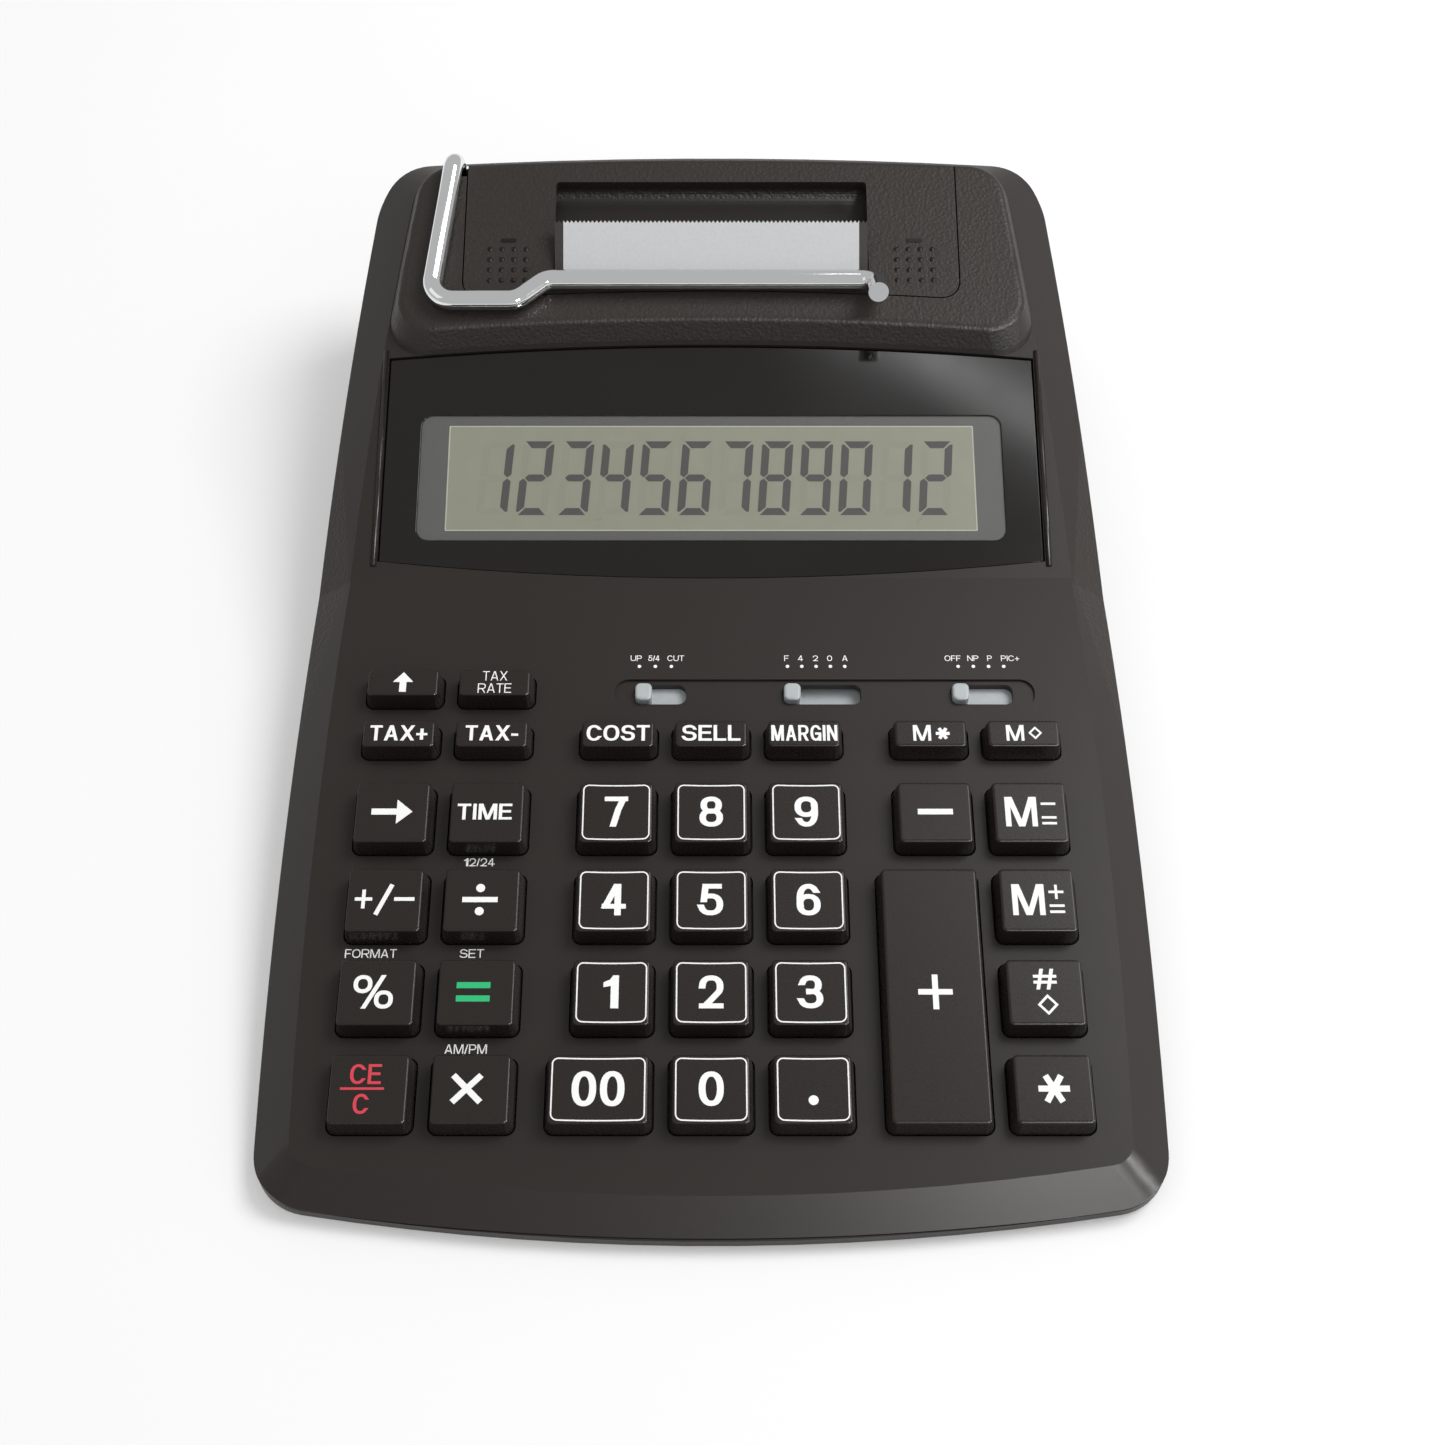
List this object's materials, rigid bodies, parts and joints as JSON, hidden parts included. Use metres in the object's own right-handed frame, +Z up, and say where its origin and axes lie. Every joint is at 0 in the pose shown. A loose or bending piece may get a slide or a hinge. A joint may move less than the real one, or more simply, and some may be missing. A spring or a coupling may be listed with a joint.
{
  "type": "printing desk calculator",
  "caption": "Printing desk calculator with a sloped key deck, raised display, printer housing with paper window and folding wire arm for a paper roll.",
  "frame": {"origin": "middle of the base, on the surface it stands on", "axes": "+X to the user's right, +Y to the rear, +Z up"},
  "size_m": [0.1488, 0.2124, 0.0517],
  "materials": {
    "case": "fine grained",
    "keys": "satin, printed legends",
    "switches": "satin",
    "lens": "gloss",
    "lcd_surround": "satin",
    "lcd": "olive liquid crystal glass",
    "board": "circuit board",
    "mat": "moulded",
    "rubber": "matt",
    "steel": "plain",
    "chrome": "bright plated wire",
    "clear": "clear",
    "paper": "plain",
    "roller": "ground",
    "gear": "moulded",
    "black_plastic": "moulded",
    "cells": "plain wrapped"
  },
  "bodies": {
    "case": {"lower_case": "case", "upper_case": "case", "case_screws": "steel", "rubber_feet": "rubber", "display_lens": "lens", "lcd_frame": "lcd_surround", "lcd_panel": "lcd", "main_board": "board", "keypad_mat": "mat", "printer_frame": "steel", "printer_motor": "steel", "power_jack": "black_plastic", "battery_cells": "cells", "paper_strip": "paper"},
    "printer_lid": {"printer_cover": "case", "tear_bar": "clear"},
    "key_up_body": {"key_up": "keys"},
    "key_tax_rate_body": {"key_tax_rate": "keys"},
    "key_tax_plus_body": {"key_tax_plus": "keys"},
    "key_tax_minus_body": {"key_tax_minus": "keys"},
    "key_cost_body": {"key_cost": "keys"},
    "key_sell_body": {"key_sell": "keys"},
    "key_margin_body": {"key_margin": "keys"},
    "key_memory_total_body": {"key_memory_total": "keys"},
    "key_memory_subtotal_body": {"key_memory_subtotal": "keys"},
    "key_backspace_body": {"key_backspace": "keys"},
    "key_time_body": {"key_time": "keys"},
    "key_7_body": {"key_7": "keys"},
    "key_8_body": {"key_8": "keys"},
    "key_9_body": {"key_9": "keys"},
    "key_minus_body": {"key_minus": "keys"},
    "key_memory_minus_body": {"key_memory_minus": "keys"},
    "key_sign_body": {"key_sign": "keys"},
    "key_divide_body": {"key_divide": "keys"},
    "key_4_body": {"key_4": "keys"},
    "key_5_body": {"key_5": "keys"},
    "key_6_body": {"key_6": "keys"},
    "key_memory_plus_body": {"key_memory_plus": "keys"},
    "key_percent_body": {"key_percent": "keys"},
    "key_equals_body": {"key_equals": "keys"},
    "key_1_body": {"key_1": "keys"},
    "key_2_body": {"key_2": "keys"},
    "key_3_body": {"key_3": "keys"},
    "key_plus_body": {"key_plus": "keys"},
    "key_item_count_body": {"key_item_count": "keys"},
    "key_clear_body": {"key_clear": "keys"},
    "key_multiply_body": {"key_multiply": "keys"},
    "key_double_zero_body": {"key_double_zero": "keys"},
    "key_0_body": {"key_0": "keys"},
    "key_point_body": {"key_point": "keys"},
    "key_total_body": {"key_total": "keys"},
    "rounding_switch_body": {"rounding_switch": "switches"},
    "decimal_switch_body": {"decimal_switch": "switches"},
    "mode_switch_body": {"mode_switch": "switches"},
    "paper_arm_body": {"paper_arm": "chrome"},
    "battery_door_body": {"battery_door": "case"},
    "feed_roller_body": {"feed_roller": "roller"},
    "print_wheel_body": {"print_wheel": "black_plastic"},
    "ink_roller_body": {"ink_roller": "mat"},
    "motor_pinion_body": {"motor_pinion": "gear"}
  },
  "joints": [
    {"name": "key_up_press", "type": "slide", "parent": "case", "child": "key_up_body", "axis": [0, 0.1045, -0.9945], "range_m": [0, 0.002], "stiffness_N_per_m": 240, "springref_m": -0.0008, "deforming": ["keypad_mat"]},
    {"name": "key_tax_rate_press", "type": "slide", "parent": "case", "child": "key_tax_rate_body", "axis": [0, 0.1045, -0.9945], "range_m": [0, 0.002], "stiffness_N_per_m": 240, "springref_m": -0.0008, "deforming": ["keypad_mat"]},
    {"name": "key_tax_plus_press", "type": "slide", "parent": "case", "child": "key_tax_plus_body", "axis": [0, 0.1045, -0.9945], "range_m": [0, 0.002], "stiffness_N_per_m": 240, "springref_m": -0.0008, "deforming": ["keypad_mat"]},
    {"name": "key_tax_minus_press", "type": "slide", "parent": "case", "child": "key_tax_minus_body", "axis": [0, 0.1045, -0.9945], "range_m": [0, 0.002], "stiffness_N_per_m": 240, "springref_m": -0.0008, "deforming": ["keypad_mat"]},
    {"name": "key_cost_press", "type": "slide", "parent": "case", "child": "key_cost_body", "axis": [0, 0.1045, -0.9945], "range_m": [0, 0.002], "stiffness_N_per_m": 240, "springref_m": -0.0008, "deforming": ["keypad_mat"]},
    {"name": "key_sell_press", "type": "slide", "parent": "case", "child": "key_sell_body", "axis": [0, 0.1045, -0.9945], "range_m": [0, 0.002], "stiffness_N_per_m": 240, "springref_m": -0.0008, "deforming": ["keypad_mat"]},
    {"name": "key_margin_press", "type": "slide", "parent": "case", "child": "key_margin_body", "axis": [0, 0.1045, -0.9945], "range_m": [0, 0.002], "stiffness_N_per_m": 240, "springref_m": -0.0008, "deforming": ["keypad_mat"]},
    {"name": "key_memory_total_press", "type": "slide", "parent": "case", "child": "key_memory_total_body", "axis": [0, 0.1045, -0.9945], "range_m": [0, 0.002], "stiffness_N_per_m": 240, "springref_m": -0.0008, "deforming": ["keypad_mat"]},
    {"name": "key_memory_subtotal_press", "type": "slide", "parent": "case", "child": "key_memory_subtotal_body", "axis": [0, 0.1045, -0.9945], "range_m": [0, 0.002], "stiffness_N_per_m": 240, "springref_m": -0.0008, "deforming": ["keypad_mat"]},
    {"name": "key_backspace_press", "type": "slide", "parent": "case", "child": "key_backspace_body", "axis": [0, 0.1045, -0.9945], "range_m": [0, 0.002], "stiffness_N_per_m": 240, "springref_m": -0.0008, "deforming": ["keypad_mat"]},
    {"name": "key_time_press", "type": "slide", "parent": "case", "child": "key_time_body", "axis": [0, 0.1045, -0.9945], "range_m": [0, 0.002], "stiffness_N_per_m": 240, "springref_m": -0.0008, "deforming": ["keypad_mat"]},
    {"name": "key_7_press", "type": "slide", "parent": "case", "child": "key_7_body", "axis": [0, 0.1045, -0.9945], "range_m": [0, 0.002], "stiffness_N_per_m": 240, "springref_m": -0.0008, "deforming": ["keypad_mat"]},
    {"name": "key_8_press", "type": "slide", "parent": "case", "child": "key_8_body", "axis": [0, 0.1045, -0.9945], "range_m": [0, 0.002], "stiffness_N_per_m": 240, "springref_m": -0.0008, "deforming": ["keypad_mat"]},
    {"name": "key_9_press", "type": "slide", "parent": "case", "child": "key_9_body", "axis": [0, 0.1045, -0.9945], "range_m": [0, 0.002], "stiffness_N_per_m": 240, "springref_m": -0.0008, "deforming": ["keypad_mat"]},
    {"name": "key_minus_press", "type": "slide", "parent": "case", "child": "key_minus_body", "axis": [0, 0.1045, -0.9945], "range_m": [0, 0.002], "stiffness_N_per_m": 240, "springref_m": -0.0008, "deforming": ["keypad_mat"]},
    {"name": "key_memory_minus_press", "type": "slide", "parent": "case", "child": "key_memory_minus_body", "axis": [0, 0.1045, -0.9945], "range_m": [0, 0.002], "stiffness_N_per_m": 240, "springref_m": -0.0008, "deforming": ["keypad_mat"]},
    {"name": "key_sign_press", "type": "slide", "parent": "case", "child": "key_sign_body", "axis": [0, 0.1045, -0.9945], "range_m": [0, 0.002], "stiffness_N_per_m": 240, "springref_m": -0.0008, "deforming": ["keypad_mat"]},
    {"name": "key_divide_press", "type": "slide", "parent": "case", "child": "key_divide_body", "axis": [0, 0.1045, -0.9945], "range_m": [0, 0.002], "stiffness_N_per_m": 240, "springref_m": -0.0008, "deforming": ["keypad_mat"]},
    {"name": "key_4_press", "type": "slide", "parent": "case", "child": "key_4_body", "axis": [0, 0.1045, -0.9945], "range_m": [0, 0.002], "stiffness_N_per_m": 240, "springref_m": -0.0008, "deforming": ["keypad_mat"]},
    {"name": "key_5_press", "type": "slide", "parent": "case", "child": "key_5_body", "axis": [0, 0.1045, -0.9945], "range_m": [0, 0.002], "stiffness_N_per_m": 240, "springref_m": -0.0008, "deforming": ["keypad_mat"]},
    {"name": "key_6_press", "type": "slide", "parent": "case", "child": "key_6_body", "axis": [0, 0.1045, -0.9945], "range_m": [0, 0.002], "stiffness_N_per_m": 240, "springref_m": -0.0008, "deforming": ["keypad_mat"]},
    {"name": "key_memory_plus_press", "type": "slide", "parent": "case", "child": "key_memory_plus_body", "axis": [0, 0.1045, -0.9945], "range_m": [0, 0.002], "stiffness_N_per_m": 240, "springref_m": -0.0008, "deforming": ["keypad_mat"]},
    {"name": "key_percent_press", "type": "slide", "parent": "case", "child": "key_percent_body", "axis": [0, 0.1045, -0.9945], "range_m": [0, 0.002], "stiffness_N_per_m": 240, "springref_m": -0.0008, "deforming": ["keypad_mat"]},
    {"name": "key_equals_press", "type": "slide", "parent": "case", "child": "key_equals_body", "axis": [0, 0.1045, -0.9945], "range_m": [0, 0.002], "stiffness_N_per_m": 240, "springref_m": -0.0008, "deforming": ["keypad_mat"]},
    {"name": "key_1_press", "type": "slide", "parent": "case", "child": "key_1_body", "axis": [0, 0.1045, -0.9945], "range_m": [0, 0.002], "stiffness_N_per_m": 240, "springref_m": -0.0008, "deforming": ["keypad_mat"]},
    {"name": "key_2_press", "type": "slide", "parent": "case", "child": "key_2_body", "axis": [0, 0.1045, -0.9945], "range_m": [0, 0.002], "stiffness_N_per_m": 240, "springref_m": -0.0008, "deforming": ["keypad_mat"]},
    {"name": "key_3_press", "type": "slide", "parent": "case", "child": "key_3_body", "axis": [0, 0.1045, -0.9945], "range_m": [0, 0.002], "stiffness_N_per_m": 240, "springref_m": -0.0008, "deforming": ["keypad_mat"]},
    {"name": "key_plus_press", "type": "slide", "parent": "case", "child": "key_plus_body", "axis": [0, 0.1045, -0.9945], "range_m": [0, 0.002], "stiffness_N_per_m": 240, "springref_m": -0.0008, "deforming": ["keypad_mat"]},
    {"name": "key_item_count_press", "type": "slide", "parent": "case", "child": "key_item_count_body", "axis": [0, 0.1045, -0.9945], "range_m": [0, 0.002], "stiffness_N_per_m": 240, "springref_m": -0.0008, "deforming": ["keypad_mat"]},
    {"name": "key_clear_press", "type": "slide", "parent": "case", "child": "key_clear_body", "axis": [0, 0.1045, -0.9945], "range_m": [0, 0.002], "stiffness_N_per_m": 240, "springref_m": -0.0008, "deforming": ["keypad_mat"]},
    {"name": "key_multiply_press", "type": "slide", "parent": "case", "child": "key_multiply_body", "axis": [0, 0.1045, -0.9945], "range_m": [0, 0.002], "stiffness_N_per_m": 240, "springref_m": -0.0008, "deforming": ["keypad_mat"]},
    {"name": "key_double_zero_press", "type": "slide", "parent": "case", "child": "key_double_zero_body", "axis": [0, 0.1045, -0.9945], "range_m": [0, 0.002], "stiffness_N_per_m": 240, "springref_m": -0.0008, "deforming": ["keypad_mat"]},
    {"name": "key_0_press", "type": "slide", "parent": "case", "child": "key_0_body", "axis": [0, 0.1045, -0.9945], "range_m": [0, 0.002], "stiffness_N_per_m": 240, "springref_m": -0.0008, "deforming": ["keypad_mat"]},
    {"name": "key_point_press", "type": "slide", "parent": "case", "child": "key_point_body", "axis": [0, 0.1045, -0.9945], "range_m": [0, 0.002], "stiffness_N_per_m": 240, "springref_m": -0.0008, "deforming": ["keypad_mat"]},
    {"name": "key_total_press", "type": "slide", "parent": "case", "child": "key_total_body", "axis": [0, 0.1045, -0.9945], "range_m": [0, 0.002], "stiffness_N_per_m": 240, "springref_m": -0.0008, "deforming": ["keypad_mat"]},
    {"name": "rounding_switch_slide", "type": "slide", "parent": "case", "child": "rounding_switch_body", "axis": [1, 0, 0], "range_m": [0, 0.0058]},
    {"name": "decimal_switch_slide", "type": "slide", "parent": "case", "child": "decimal_switch_body", "axis": [1, 0, 0], "range_m": [0, 0.0106]},
    {"name": "mode_switch_slide", "type": "slide", "parent": "case", "child": "mode_switch_body", "axis": [1, 0, 0], "range_m": [0, 0.0077]},
    {"name": "printer_lid_slide", "type": "slide", "parent": "case", "child": "printer_lid", "axis": [0, 0.965, 0.2622], "range_m": [0, 0.006], "deforming": ["paper_strip"]},
    {"name": "paper_arm_swing", "type": "hinge", "parent": "case", "child": "paper_arm_body", "pos_m": [-0.045, 0.09667, 0.04393], "axis": [-1, 0, 0], "range_deg": [0, 94]},
    {"name": "battery_door_hinge", "type": "hinge", "parent": "case", "child": "battery_door_body", "pos_m": [0, 0.0532, 0.002], "axis": [1, 0, 0], "range_deg": [0, 80]},
    {"name": "print_wheel_spin", "type": "hinge", "parent": "case", "child": "print_wheel_body", "pos_m": [0, 0.06731, 0.02521], "axis": [1, 0, 0], "continuous": true},
    {"name": "feed_roller_spin", "type": "hinge", "parent": "case", "child": "feed_roller_body", "pos_m": [0, 0.07454, 0.03383], "axis": [1, 0, 0], "continuous": true},
    {"name": "ink_roller_spin", "type": "hinge", "parent": "case", "child": "ink_roller_body", "pos_m": [0, 0.05834, 0.02194], "axis": [1, 0, 0], "continuous": true},
    {"name": "motor_pinion_spin", "type": "hinge", "parent": "case", "child": "motor_pinion_body", "pos_m": [0, 0.06731, 0.01521], "axis": [1, 0, 0], "continuous": true}
  ],
  "couplings": [
    {"joint": "feed_roller_spin", "follows": "print_wheel_spin", "ratio": -0.8},
    {"joint": "motor_pinion_spin", "follows": "print_wheel_spin", "ratio": -3},
    {"joint": "ink_roller_spin", "follows": "print_wheel_spin", "ratio": -1.0909}
  ]
}
